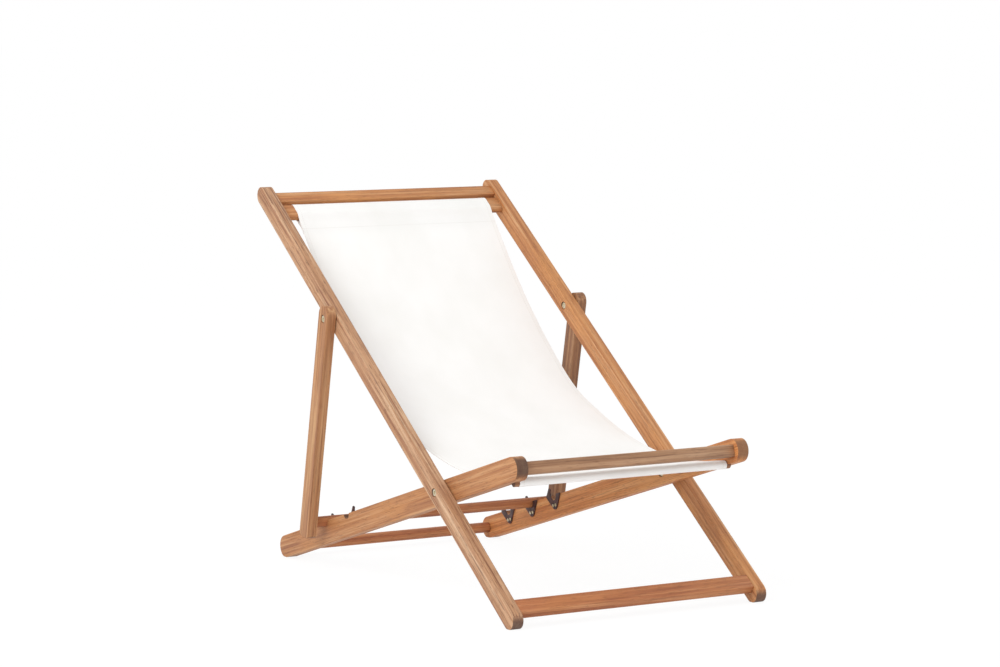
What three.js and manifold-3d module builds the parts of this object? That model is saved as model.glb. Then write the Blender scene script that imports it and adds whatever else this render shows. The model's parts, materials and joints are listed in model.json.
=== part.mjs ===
import * as THREE from "three";
import { mergeVertices } from "three/addons/utils/BufferGeometryUtils.js";
import Module from "manifold-3d";

const wasm = await Module();
wasm.setup();

// A wooden steamer chair: a long frame that leans back, a seat frame that crosses it,
// two struts that prop the long frame on a round rest bar, and a cloth sling.
// Millimetres. X runs across the chair, +Y to its back, +Z up. Left is the -X side.

// Clearances
const seatGap = 0.3;
const sideGap = 0.3;
const edgeChamfer = 1.5;
const cutOverrun = 5;

// Overall width over the outer faces of the two long rails
const frameWidth = 580;

// Long rails, from front foot to head. Reaches run from the seat pivot.
const longThick = 23.2;
const longDepth = 37;
const longHeadReach = 947;
const longFootReach = 371;
const footWear = 0.8;

// Seat rails, inside the long rails
const railWasherGap = 2.3;
const seatThick = 25;
const seatDepth = 47;
const seatRearPastNotch = 127;
const seatFrontReach = 288;

// Struts, outside the long rails
const strutWasherGap = 1.8;
const strutThick = 21;
const strutDepth = 37;
const strutTopReach = 27;
const strutFootReach = 475;
const strutFootCorner = 7;
const strutPivotReach = 525;

// Round rest bar and the three notches that it can lie in
const restBarDiameter = 22;
const restReach = 530;
const restPitch = 100;
const restBarFromStrutPivot = 445;

// Bars across the long frame: along the rail, across the rail, middle from the rail's end,
// and how far the front face lies behind the rail's front edge
const topBarAlong = 30;
const topBarAcross = 18;
const topBarFromEnd = 40;
const topBarSetback = 5;
const footBarAlong = 35;
const footBarAcross = 19;
const footBarFromEnd = 36.5;
const footBarSetback = 0.5;
const headSlingBarAlong = 42;
const headSlingBarAcross = 16;
const headSlingBarFromEnd = 81;
const headSlingBarSetback = 8.5;

// Bars across the seat frame
const frontBarAlong = 24;
const frontBarAcross = 24;
const frontBarFromEnd = 25;
const frontBarDrop = 0.5;
const frontSlingRodDiameter = 15;
const frontSlingRodFromEnd = 51;
const frontSlingRodSeat = 8;
const rearBarDiameter = 23;
const rearBarFromEnd = 25;

// Bar corners and their tenons
const barCorner = 3;
const tenonShoulder = 5;
const tenonLength = 12;

// Pivot bolts, sunk into the wood at both ends
const boltDiameter = 8;
const boltHeadDiameter = 14;
const boltHeadHeight = 2.5;
const boltEngagement = 1.6;
const counterboreDiameter = 17;
const counterboreDepth = 4;
const socketWidth = 5;
const socketDepth = 1.5;
const washerDiameter = 20;

// Rest hooks: plates on the inner faces of the seat rails, one at each notch
const hookThick = 2.2;
const hookFrontHalf = 28;
const hookRearHalf = 29;
const hookTopRise = 1.6;
const hookDrop = 31;
const hookToeRadius = 10;
const hookProngHeight = 16.5;
const hookProngWidth = 7;
const hookProngLean = 11;
const hookScrewSpacing = 10.5;
const hookScrewDrop = 22;
const screwHeadDiameter = 6.6;
const screwHeadHeight = 1.4;
const screwShankDiameter = 3;
const screwLength = 13;

// Sling: gap to the seat rails, cloth thickness, and how it hangs between its two bars
const slingSideGap = 2.5;
const slingThick = 2;
const slingSag = 188;
const slingDropShares = [0, 0.31, 0.57, 0.76, 0.895, 0.972, 1, 0.877, 0.665, 0.37, 0];
const slingSteps = 36;

// How finely arcs are divided
const endArcSteps = 14;
const notchSteps = 12;
const cornerSteps = 3;
const roundSides = 24;
const smallSides = 12;

// Places across the chair
const longOuterX = frameWidth / 2;
const longInnerX = longOuterX - longThick;
const seatOuterX = longInnerX - railWasherGap;
const seatInnerX = seatOuterX - seatThick;
const strutInnerX = longOuterX + strutWasherGap;
const strutOuterX = strutInnerX + strutThick;

// The seat rails end a set length past the rearmost of the three notches
const seatRearReach = restReach + restPitch + seatRearPastNotch;

// The triangle of seat pivot, strut pivot and rest bar sets the angle between the frames
const longEndRadius = longDepth / 2;
const seatEndRadius = seatDepth / 2;
const restBarRadius = restBarDiameter / 2;
const restBarHeight = seatEndRadius;
const restBarRadial = Math.hypot(restReach, restBarHeight);
const pivotSquares = strutPivotReach ** 2 + restBarRadial ** 2 - restBarFromStrutPivot ** 2;
const triangleAngle = Math.acos(pivotSquares / (2 * strutPivotReach * restBarRadial));
const frameAngle = triangleAngle + Math.atan2(restBarHeight, restReach);

// Both frames stand on level ground on small worn flats at their lower ends
const footCentreReach = longFootReach - longEndRadius;
const rearCentreReach = seatRearReach - seatEndRadius;
const standAcross = rearCentreReach * Math.sin(frameAngle);
const standAlong = footCentreReach + rearCentreReach * Math.cos(frameAngle);
const standTilt = Math.asin((seatEndRadius - longEndRadius) / Math.hypot(standAcross, standAlong));
const longAngle = standTilt + Math.atan2(standAcross, standAlong);
const seatAngle = frameAngle - longAngle;
const pivotHeight = footCentreReach * Math.sin(longAngle) + longEndRadius - footWear;

// Finishes
const oiledWood = new THREE.MeshStandardMaterial({ color: 0xb8794f, roughness: 0.55, metalness: 0 });
const darkMetal = new THREE.MeshStandardMaterial({ color: 0x4a2e2a, roughness: 0.5, metalness: 0.6 });
const brightSteel = new THREE.MeshStandardMaterial({ color: 0xb9b4a8, roughness: 0.35, metalness: 1 });
const canvasCloth = new THREE.MeshStandardMaterial({ color: 0xf7f6f4, roughness: 0.95, metalness: 0 });

// Points on an arc from one angle to another, both ends included
function arcPoints(cx, cy, radius, from, to, steps) {
  const points = [];
  for (let i = 0; i <= steps; i += 1) {
    const angle = from + ((to - from) * i) / steps;
    points.push(new THREE.Vector2(cx + radius * Math.cos(angle), cy + radius * Math.sin(angle)));
  }
  return points;
}

// Turns an outline drawn along and across a rail into a slab between two places across the chair
function slab(points, fromX, toX, chamfer = 0) {
  const shape = new THREE.Shape(points);
  const depth = toX - fromX - 2 * chamfer;
  const geometry = new THREE.ExtrudeGeometry(shape, {
    depth,
    bevelEnabled: chamfer > 0,
    bevelThickness: chamfer,
    bevelSize: chamfer,
    bevelOffset: -chamfer,
    bevelSegments: 1,
    curveSegments: 1,
  });
  geometry.translate(0, 0, fromX + chamfer);
  const across = new THREE.Matrix4().makeBasis(
    new THREE.Vector3(0, 1, 0),
    new THREE.Vector3(0, 0, 1),
    new THREE.Vector3(1, 0, 0),
  );
  geometry.applyMatrix4(across);
  return geometry;
}

// A round piece along X, from a profile of [radius, x] pairs that starts and ends on the axis
function turned(profile, sides, along, across) {
  const points = profile.map(([radius, x]) => new THREE.Vector2(radius, x));
  const geometry = new THREE.LatheGeometry(points, sides);
  geometry.applyMatrix4(
    new THREE.Matrix4().makeBasis(
      new THREE.Vector3(0, 1, 0),
      new THREE.Vector3(1, 0, 0),
      new THREE.Vector3(0, 0, -1),
    ),
  );
  geometry.translate(0, along, across);
  return geometry;
}

// A plain round rod along X
function rod(radius, fromX, toX, sides, along, across) {
  return turned([[0, fromX], [radius, fromX], [radius, toX], [0, toX]], sides, along, across);
}

// Boolean work on closed meshes
function toSolid(geometry) {
  const bare = geometry.clone();
  bare.deleteAttribute("normal");
  bare.deleteAttribute("uv");
  const merged = mergeVertices(bare, edgeChamfer / 1000);
  const kept = [];
  const index = merged.index.array;
  for (let i = 0; i < index.length; i += 3) {
    const [a, b, c] = [index[i], index[i + 1], index[i + 2]];
    if (a !== b && b !== c && c !== a) {
      kept.push(a, b, c);
    }
  }
  return new wasm.Manifold(
    new wasm.Mesh({
      numProp: 3,
      vertProperties: new Float32Array(merged.attributes.position.array),
      triVerts: new Uint32Array(kept),
    }),
  );
}

function toGeometry(solid) {
  const mesh = solid.getMesh();
  const geometry = new THREE.BufferGeometry();
  geometry.setAttribute("position", new THREE.BufferAttribute(new Float32Array(mesh.vertProperties), 3));
  geometry.setIndex(new THREE.BufferAttribute(new Uint32Array(mesh.triVerts), 1));
  geometry.computeVertexNormals();
  return geometry;
}

function cutAway(geometry, cutters) {
  let solid = toSolid(geometry);
  for (const cutter of cutters) {
    solid = solid.subtract(toSolid(cutter));
  }
  return toGeometry(solid);
}

function joined(geometries) {
  let solid = toSolid(geometries[0]);
  for (const next of geometries.slice(1)) {
    solid = solid.add(toSolid(next));
  }
  return toGeometry(solid);
}

// The same piece on the other side of the chair
function mirrored(geometry) {
  const copy = mergeVertices(geometry.clone());
  copy.scale(-1, 1, 1);
  const index = copy.index.array;
  for (let i = 0; i < index.length; i += 3) {
    const kept = index[i + 1];
    index[i + 1] = index[i + 2];
    index[i + 2] = kept;
  }
  copy.computeVertexNormals();
  return copy;
}

// Rounded rectangle about a middle point, drawn along and across a rail
function roundedBar(along, across, length, depth, corner) {
  const a = length / 2 - corner;
  const b = depth / 2 - corner;
  const quarter = Math.PI / 2;
  return [
    ...arcPoints(along + a, across + b, corner, 0, quarter, cornerSteps),
    ...arcPoints(along - a, across + b, corner, quarter, 2 * quarter, cornerSteps),
    ...arcPoints(along - a, across - b, corner, 2 * quarter, 3 * quarter, cornerSteps),
    ...arcPoints(along + a, across - b, corner, 3 * quarter, 4 * quarter, cornerSteps),
  ];
}

// Bar with two long rounded sides
function ovalBar(along, across, length, depth) {
  const radius = depth / 2;
  const half = length / 2 - radius;
  const quarter = Math.PI / 2;
  return [
    ...arcPoints(along + half, across, radius, -quarter, quarter, notchSteps),
    ...arcPoints(along - half, across, radius, quarter, 3 * quarter, notchSteps),
  ];
}

const quarterTurn = Math.PI / 2;

// Block beyond the ground line of a rounded end, which leaves a worn flat when it is cut away.
// The end's middle lies at the place given along the rail, and the ground in the direction down.
function groundBlock(endMiddle, radius, down, fromX, toX) {
  const near = radius - footWear;
  const far = 2 * radius;
  const corner = (out, aside) =>
    new THREE.Vector2(
      endMiddle + out * Math.cos(down) - aside * Math.sin(down),
      out * Math.sin(down) + aside * Math.cos(down),
    );
  const outline = [corner(near, -far), corner(far, -far), corner(far, far), corner(near, far)];
  return slab(outline, fromX - cutOverrun, toX + cutOverrun);
}

// Long rail outline: rounded head and rounded foot
const longOutline = [
  ...arcPoints(longHeadReach - longEndRadius, 0, longEndRadius, -quarterTurn, quarterTurn, endArcSteps),
  ...arcPoints(-footCentreReach, 0, longEndRadius, quarterTurn, 3 * quarterTurn, endArcSteps),
];

// Seat rail outline: rounded rear end and front, three notches on top
const notchRadius = restBarRadius + seatGap;
const notchReaches = [restReach - restPitch, restReach, restReach + restPitch];
const seatOutline = [
  ...arcPoints(rearCentreReach, 0, seatEndRadius, -quarterTurn, quarterTurn, endArcSteps),
  ...[...notchReaches].reverse().flatMap((reach) =>
    arcPoints(reach, seatEndRadius, notchRadius, 0, -2 * quarterTurn, notchSteps)),
  ...arcPoints(seatEndRadius - seatFrontReach, 0, seatEndRadius, quarterTurn, 3 * quarterTurn, endArcSteps),
];

// Strut outline: round top about the pivot, squarer foot
const strutEnd = strutFootReach - strutFootCorner;
const strutSide = strutDepth / 2;
const strutOutline = [
  ...arcPoints(strutEnd, strutSide - strutFootCorner, strutFootCorner, 0, quarterTurn, cornerSteps),
  ...arcPoints(strutSide - strutTopReach, 0, strutSide, quarterTurn, 3 * quarterTurn, endArcSteps),
  ...arcPoints(strutEnd, strutFootCorner - strutSide, strutFootCorner, -quarterTurn, 0, cornerSteps),
];

// Where each cross bar lies on its own frame, along and across the rails
const topBarAt = [
  longHeadReach - topBarFromEnd,
  longEndRadius - topBarSetback - topBarAcross / 2,
];
const headSlingBarAt = [
  longHeadReach - headSlingBarFromEnd,
  longEndRadius - headSlingBarSetback - headSlingBarAcross / 2,
];
const footBarAt = [
  footBarFromEnd - longFootReach,
  longEndRadius - footBarSetback - footBarAcross / 2,
];
const frontBarAt = [frontBarFromEnd - seatFrontReach, -frontBarDrop];
const frontSlingRodAt = [frontSlingRodFromEnd - seatFrontReach, -seatEndRadius];
const rearBarAt = [seatRearReach - rearBarFromEnd, 0];

// Rectangular tenon and its mortise, smaller than the bar by a shoulder all round
function tenonOutline(at, along, across, spare) {
  const length = along - 2 * tenonShoulder + 2 * spare;
  const depth = across - 2 * tenonShoulder + 2 * spare;
  return roundedBar(at[0], at[1], length, depth, barCorner / 2);
}

function squareBar(at, along, across, innerX) {
  const body = innerX - sideGap;
  const reach = body + tenonLength;
  return joined([
    slab(roundedBar(at[0], at[1], along, across, barCorner), -body, body),
    slab(tenonOutline(at, along, across, 0), -reach, reach),
  ]);
}

function squareMortise(at, along, across, innerX) {
  const floor = innerX + tenonLength + seatGap;
  return slab(tenonOutline(at, along, across, seatGap), innerX - cutOverrun, floor);
}

function roundTenonRadius(diameter) {
  return diameter / 2 - tenonShoulder / 2;
}

function roundBar(at, diameter, innerX) {
  const body = innerX - sideGap;
  const reach = body + tenonLength;
  const thin = roundTenonRadius(diameter);
  const profile = [
    [0, -reach],
    [thin, -reach],
    [thin, -body],
    [diameter / 2, -body],
    [diameter / 2, body],
    [thin, body],
    [thin, reach],
    [0, reach],
  ];
  return turned(profile, roundSides, at[0], at[1]);
}

function roundMortise(at, diameter, innerX) {
  const radius = roundTenonRadius(diameter) + seatGap;
  const floor = innerX + tenonLength + seatGap;
  return rod(radius, innerX - cutOverrun, floor, roundSides, at[0], at[1]);
}

// Bolt holes: a clear bore, with a counterbore on the face where a head or nut sinks in
const boreRadius = boltDiameter / 2 + seatGap;
const counterboreRadius = counterboreDiameter / 2;

function boltBore(fromX, toX, along) {
  return rod(boreRadius, fromX - cutOverrun, toX + cutOverrun, roundSides, along, 0);
}

function outerCounterbore(faceX, along) {
  return rod(counterboreRadius, faceX - counterboreDepth, faceX + cutOverrun, roundSides, along, 0);
}

function innerCounterbore(faceX, along) {
  return rod(counterboreRadius, faceX - cutOverrun, faceX + counterboreDepth, roundSides, along, 0);
}

// Bolt from its sunk head at the outer face to its end inside the nut
function pivotBolt(innerX, outerX, along) {
  const headFloor = outerX - counterboreDepth + seatGap;
  const headTop = headFloor + boltHeadHeight;
  const end = innerX + counterboreDepth - seatGap - boltEngagement;
  const bolt = turned(
    [
      [0, end],
      [boltDiameter / 2, end],
      [boltDiameter / 2, headFloor],
      [boltHeadDiameter / 2, headFloor],
      [boltHeadDiameter / 2, headTop - boltHeadHeight / 3],
      [boltHeadDiameter / 2 - boltHeadHeight / 3, headTop],
      [0, headTop],
    ],
    roundSides,
    along,
    0,
  );
  const socket = rod(socketWidth / Math.sqrt(3), headTop - socketDepth, headTop + cutOverrun, 6, along, 0);
  return cutAway(bolt, [socket]);
}

// Cap nut at the inner face, with a blind bore for the bolt's end
function capNut(innerX, along) {
  const seat = innerX + counterboreDepth - seatGap;
  const crown = seat - boltHeadHeight;
  const blind = seat - boltEngagement - seatGap;
  const rim = boltHeadDiameter / 2;
  return turned(
    [
      [0, crown],
      [rim - boltHeadHeight / 3, crown],
      [rim, crown + boltHeadHeight / 3],
      [rim, seat],
      [boreRadius, seat],
      [boreRadius, blind],
      [0, blind],
    ],
    roundSides,
    along,
    0,
  );
}

function washer(fromX, gap, along) {
  const near = fromX + sideGap;
  const far = fromX + gap - sideGap;
  return turned(
    [
      [boreRadius, near],
      [washerDiameter / 2, near],
      [washerDiameter / 2, far],
      [boreRadius, far],
      [boreRadius, near],
    ],
    roundSides,
    along,
    0,
  );
}

// Rest hook outline about the middle of the rest bar, with the rail's top edge at zero across
function hookOutline(reach) {
  const cradle = notchRadius;
  const toeHeight = hookToeRadius - hookDrop;
  const prongFoot = cradle + hookProngWidth;
  const tipInner = cradle - hookProngLean / 4;
  const tipHeight = hookProngHeight - hookProngWidth / 2;
  const toeSpread = quarterTurn / 3;
  const local = [
    new THREE.Vector2(-hookFrontHalf, hookTopRise),
    new THREE.Vector2(-hookFrontHalf, -hookTopRise),
    ...arcPoints(0, toeHeight, hookToeRadius, 2 * quarterTurn + toeSpread, 4 * quarterTurn - toeSpread, notchSteps),
    new THREE.Vector2(hookRearHalf, -hookTopRise),
    new THREE.Vector2(hookRearHalf, hookTopRise),
    new THREE.Vector2(prongFoot + hookProngWidth, hookTopRise + hookProngWidth / 2),
    new THREE.Vector2(tipInner + hookProngWidth, hookProngHeight),
    new THREE.Vector2(tipInner + hookProngWidth / 2, hookProngHeight),
    new THREE.Vector2(tipInner, tipHeight),
    new THREE.Vector2(cradle, hookProngHeight / 2),
    ...arcPoints(0, 0, cradle, 0, -2 * quarterTurn, notchSteps),
    new THREE.Vector2(-cradle, hookTopRise),
  ];
  return local.map((point) => new THREE.Vector2(point.x + reach, point.y + seatEndRadius));
}

const screwHoleRadius = screwShankDiameter / 2 + seatGap;
const hookOuterX = seatInnerX - sideGap;
const hookInnerX = hookOuterX - hookThick;

function screwPlaces(reach) {
  const across = seatEndRadius - hookScrewDrop;
  return [
    [reach - hookScrewSpacing / 2, across],
    [reach + hookScrewSpacing / 2, across],
  ];
}

function restHook(reach) {
  const holes = screwPlaces(reach).map(([along, across]) =>
    rod(screwHoleRadius, hookInnerX - cutOverrun, hookOuterX + cutOverrun, smallSides, along, across));
  return cutAway(slab(hookOutline(reach), hookInnerX, hookOuterX), holes);
}

function hookScrew(along, across) {
  const under = hookInnerX - seatGap;
  const crown = under - screwHeadHeight;
  const rim = screwHeadDiameter / 2;
  return turned(
    [
      [0, crown],
      [rim / 2, crown],
      [rim, under - screwHeadHeight / 2],
      [rim, under],
      [screwShankDiameter / 2, under],
      [screwShankDiameter / 2, under + screwLength - screwShankDiameter],
      [0, under + screwLength],
    ],
    smallSides,
    along,
    across,
  );
}

function screwPilot(along, across) {
  const tip = hookInnerX + screwLength;
  return rod(screwHoleRadius, seatInnerX - cutOverrun, tip, smallSides, along, across);
}

// The front sling rod lies half sunk in blind notches in the lower edges of the seat rails
const frontSlingRodRadius = frontSlingRodDiameter / 2;
const frontSlingRodEnd = seatInnerX + frontSlingRodSeat;

function frontRodNotch() {
  const radius = frontSlingRodRadius + seatGap;
  const floor = frontSlingRodEnd + seatGap;
  return rod(radius, seatInnerX - cutOverrun, floor, roundSides, frontSlingRodAt[0], frontSlingRodAt[1]);
}

// Rails with their mortises, bolt holes, pilot holes and worn flats
const footDown = 3 * quarterTurn - longAngle;
const rearDown = seatAngle - quarterTurn;

const longRailGeometry = cutAway(slab(longOutline, longInnerX, longOuterX, edgeChamfer), [
  groundBlock(-footCentreReach, longEndRadius, footDown, longInnerX, longOuterX),
  squareMortise(topBarAt, topBarAlong, topBarAcross, longInnerX),
  squareMortise(footBarAt, footBarAlong, footBarAcross, longInnerX),
  squareMortise(headSlingBarAt, headSlingBarAlong, headSlingBarAcross, longInnerX),
  boltBore(longInnerX, longOuterX, 0),
  outerCounterbore(longOuterX, 0),
  boltBore(longInnerX, longOuterX, strutPivotReach),
  innerCounterbore(longInnerX, strutPivotReach),
]);

const seatRailGeometry = cutAway(slab(seatOutline, seatInnerX, seatOuterX, edgeChamfer), [
  groundBlock(rearCentreReach, seatEndRadius, rearDown, seatInnerX, seatOuterX),
  squareMortise(frontBarAt, frontBarAlong, frontBarAcross, seatInnerX),
  frontRodNotch(),
  roundMortise(rearBarAt, rearBarDiameter, seatInnerX),
  boltBore(seatInnerX, seatOuterX, 0),
  innerCounterbore(seatInnerX, 0),
  ...notchReaches.flatMap((reach) => screwPlaces(reach).map(([a, b]) => screwPilot(a, b))),
]);

const strutGeometry = cutAway(slab(strutOutline, strutInnerX, strutOuterX, edgeChamfer), [
  boltBore(strutInnerX, strutOuterX, 0),
  outerCounterbore(strutOuterX, 0),
]);

// Head sling bar: two long rounded sides and the same tenon as the other flat bars
function headSlingBar() {
  const [along, across] = headSlingBarAt;
  const body = longInnerX - sideGap;
  const reach = body + tenonLength;
  return joined([
    slab(ovalBar(along, across, headSlingBarAlong, headSlingBarAcross), -body, body),
    slab(tenonOutline(headSlingBarAt, headSlingBarAlong, headSlingBarAcross, 0), -reach, reach),
  ]);
}

// A point of one frame in the chair's upright frame, before it is set down on the ground
function onLongFrame([along, across]) {
  const cos = Math.cos(longAngle);
  const sin = Math.sin(longAngle);
  return new THREE.Vector2(along * cos - across * sin, along * sin + across * cos);
}

function onSeatFrame([along, across]) {
  const cos = Math.cos(seatAngle);
  const sin = Math.sin(seatAngle);
  return new THREE.Vector2(along * cos + across * sin, across * cos - along * sin);
}

// Sling: a hanging strip that runs off the front of the head bar and over the front rod,
// with a pocket round each
const pocketGap = seatGap;
const clothHalf = slingThick / 2;
const headPocketAcross = headSlingBarAcross + 2 * (pocketGap + slingThick);
const headPocketAlong = headSlingBarAlong + 2 * (pocketGap + slingThick);
const frontPocketRadius = frontSlingRodRadius + pocketGap + slingThick;
const slingHalfWidth = seatInnerX - slingSideGap;

function slingGeometry() {
  const headTangent = onLongFrame([
    headSlingBarAt[0],
    headSlingBarAt[1] + headPocketAcross / 2 - clothHalf,
  ]);
  const frontTangent = onSeatFrame([
    frontSlingRodAt[0],
    frontSlingRodAt[1] + frontPocketRadius - clothHalf,
  ]);
  const last = slingDropShares.length - 1;
  const guide = new THREE.CatmullRomCurve3(
    slingDropShares.map((share, i) => {
      const y = frontTangent.x + ((headTangent.x - frontTangent.x) * i) / last;
      const z = frontTangent.y + ((headTangent.y - frontTangent.y) * i) / last;
      return new THREE.Vector3(0, y, z - slingSag * share);
    }),
    false,
    "centripetal",
  );
  const upper = [];
  const lower = [];
  for (let i = 0; i <= slingSteps; i += 1) {
    const point = guide.getPoint(i / slingSteps);
    const tangent = guide.getTangent(i / slingSteps);
    upper.push(new THREE.Vector2(point.y - tangent.z * clothHalf, point.z + tangent.y * clothHalf));
    lower.push(new THREE.Vector2(point.y + tangent.z * clothHalf, point.z - tangent.y * clothHalf));
  }
  const half = slingHalfWidth;
  const strip = slab([...lower, ...upper.reverse()], -half, half);
  const turnedOutline = (points, place) => points.map((point) => place([point.x, point.y]));
  const headOuter = ovalBar(headSlingBarAt[0], headSlingBarAt[1], headPocketAlong, headPocketAcross);
  const headInner = ovalBar(
    headSlingBarAt[0],
    headSlingBarAt[1],
    headSlingBarAlong + 2 * pocketGap,
    headSlingBarAcross + 2 * pocketGap,
  );
  const fullTurn = 4 * quarterTurn;
  const sides = roundSides;
  const [rodAlong, rodAcross] = frontSlingRodAt;
  const frontOuter = arcPoints(rodAlong, rodAcross, frontPocketRadius, 0, fullTurn, sides).slice(1);
  const hollow = frontPocketRadius - slingThick;
  const frontInner = arcPoints(rodAlong, rodAcross, hollow, 0, fullTurn, sides).slice(1);
  const body = joined([
    strip,
    slab(turnedOutline(headOuter, onLongFrame), -half, half),
    slab(turnedOutline(frontOuter, onSeatFrame), -half, half),
  ]);
  const longHalf = half + cutOverrun;
  return cutAway(body, [
    slab(turnedOutline(headInner, onLongFrame), -longHalf, longHalf),
    slab(turnedOutline(frontInner, onSeatFrame), -longHalf, longHalf),
  ]);
}

function place(parent, name, geometry, material) {
  const mesh = new THREE.Mesh(geometry, material);
  mesh.name = name;
  parent.add(mesh);
}

function placePair(parent, name, geometry, material) {
  place(parent, `${name}_right`, geometry, material);
  place(parent, `${name}_left`, mirrored(geometry), material);
}

// Assembly
const group = new THREE.Group();
const chair = new THREE.Group();
group.add(chair);

const longFrame = new THREE.Group();
longFrame.rotation.x = longAngle;
chair.add(longFrame);

placePair(longFrame, "long_rail", longRailGeometry, oiledWood);
place(longFrame, "top_bar", squareBar(topBarAt, topBarAlong, topBarAcross, longInnerX), oiledWood);
place(longFrame, "foot_bar", squareBar(footBarAt, footBarAlong, footBarAcross, longInnerX), oiledWood);
place(longFrame, "head_sling_bar", headSlingBar(), oiledWood);
placePair(longFrame, "seat_pivot_bolt", pivotBolt(seatInnerX, longOuterX, 0), brightSteel);
placePair(longFrame, "seat_pivot_nut", capNut(seatInnerX, 0), brightSteel);
placePair(longFrame, "seat_pivot_washer", washer(seatOuterX, railWasherGap, 0), brightSteel);
const strutBolt = pivotBolt(longInnerX, strutOuterX, strutPivotReach);
placePair(longFrame, "strut_pivot_bolt", strutBolt, brightSteel);
placePair(longFrame, "strut_pivot_nut", capNut(longInnerX, strutPivotReach), brightSteel);
const strutWasher = washer(longOuterX, strutWasherGap, strutPivotReach);
placePair(longFrame, "strut_pivot_washer", strutWasher, brightSteel);

const seatFrame = new THREE.Group();
seatFrame.rotation.x = -seatAngle;
chair.add(seatFrame);

placePair(seatFrame, "seat_rail", seatRailGeometry, oiledWood);
place(seatFrame, "front_bar", squareBar(frontBarAt, frontBarAlong, frontBarAcross, seatInnerX), oiledWood);
const frontSlingRod = rod(
  frontSlingRodRadius,
  -frontSlingRodEnd,
  frontSlingRodEnd,
  roundSides,
  frontSlingRodAt[0],
  frontSlingRodAt[1],
);
place(seatFrame, "front_sling_rod", frontSlingRod, oiledWood);
place(seatFrame, "rear_bar", roundBar(rearBarAt, rearBarDiameter, seatInnerX), oiledWood);
const restBarEnd = strutInnerX - sideGap;
const restBar = rod(restBarRadius, -restBarEnd, restBarEnd, roundSides, restReach, restBarHeight);
place(seatFrame, "rest_bar", restBar, oiledWood);
notchReaches.forEach((reach, i) => {
  placePair(seatFrame, `rest_hook_${i + 1}`, restHook(reach), darkMetal);
  screwPlaces(reach).forEach(([along, across], j) => {
    placePair(seatFrame, `hook_screw_${i + 1}${j === 0 ? "a" : "b"}`, hookScrew(along, across), brightSteel);
  });
});

// Each strut points from its pivot to the rest bar
const strutPivot = onLongFrame([strutPivotReach, 0]);
const restBarMiddle = onSeatFrame([restReach, restBarHeight]);
const strutFrame = new THREE.Group();
strutFrame.position.set(0, strutPivot.x, strutPivot.y);
strutFrame.rotation.x = Math.atan2(restBarMiddle.y - strutPivot.y, restBarMiddle.x - strutPivot.x);
chair.add(strutFrame);
placePair(strutFrame, "strut", strutGeometry, oiledWood);

place(chair, "sling", slingGeometry(), canvasCloth);

// The origin lies on the ground under the middle of the chair's outline
chair.updateMatrixWorld(true);
const outline = new THREE.Box3().setFromObject(chair, true);
chair.position.set(0, -(outline.min.y + outline.max.y) / 2, -outline.min.z);
group.updateMatrixWorld(true);

export default group;
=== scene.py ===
import json
import math
import bmesh
import bpy
from mathutils import Matrix, Vector, noise

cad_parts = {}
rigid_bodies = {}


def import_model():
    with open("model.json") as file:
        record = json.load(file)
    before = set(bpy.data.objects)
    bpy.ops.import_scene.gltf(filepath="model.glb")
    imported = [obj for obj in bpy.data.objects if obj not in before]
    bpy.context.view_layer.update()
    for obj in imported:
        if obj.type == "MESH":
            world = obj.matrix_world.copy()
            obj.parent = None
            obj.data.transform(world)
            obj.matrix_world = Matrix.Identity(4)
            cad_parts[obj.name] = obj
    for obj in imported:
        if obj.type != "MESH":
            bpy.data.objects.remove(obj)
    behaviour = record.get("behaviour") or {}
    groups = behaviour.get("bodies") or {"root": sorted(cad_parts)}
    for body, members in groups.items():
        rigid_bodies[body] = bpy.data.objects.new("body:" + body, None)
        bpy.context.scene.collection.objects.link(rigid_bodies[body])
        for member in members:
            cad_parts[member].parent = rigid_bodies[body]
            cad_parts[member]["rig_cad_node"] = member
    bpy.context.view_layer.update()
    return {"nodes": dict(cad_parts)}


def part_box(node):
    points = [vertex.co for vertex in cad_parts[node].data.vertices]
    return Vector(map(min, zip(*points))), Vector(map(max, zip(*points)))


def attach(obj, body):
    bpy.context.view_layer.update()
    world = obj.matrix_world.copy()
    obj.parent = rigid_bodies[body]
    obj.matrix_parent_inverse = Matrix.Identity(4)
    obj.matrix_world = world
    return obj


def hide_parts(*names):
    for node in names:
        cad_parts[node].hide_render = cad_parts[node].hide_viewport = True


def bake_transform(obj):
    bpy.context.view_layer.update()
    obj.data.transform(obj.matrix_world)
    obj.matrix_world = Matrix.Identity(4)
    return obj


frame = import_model()
print("frame loaded:", len(frame["nodes"]), "solids")

# The chair's places, in millimetres and degrees: both frames turn about the seat pivot
layout = {
    "seatPivot": (0, -232.142, 226.326),
    "strutPivot": (0, 191.034, 537.047),
    "longTurn": 36.28825,
    "seatTurn": -16.11757,
    "strutTurn": -78.00067,
    "longMiddle": 278.4,      # middle of a long rail, across the chair
    "longThick": 23.2,
    "seatMiddle": 252.0,
    "seatThick": 25.0,
    "strutMiddle": 302.3,
    "strutThick": 21.0,
}
mm = 0.001

# The camera, as the photograph was taken
cameraView = {"lens": 117.671, "sensor": 36, "yaw": -30.310, "pitch": 5.374, "roll": -0.305,
              "place": (-3.373998, -5.767529, 1.134386), "farthest": 600}


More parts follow.
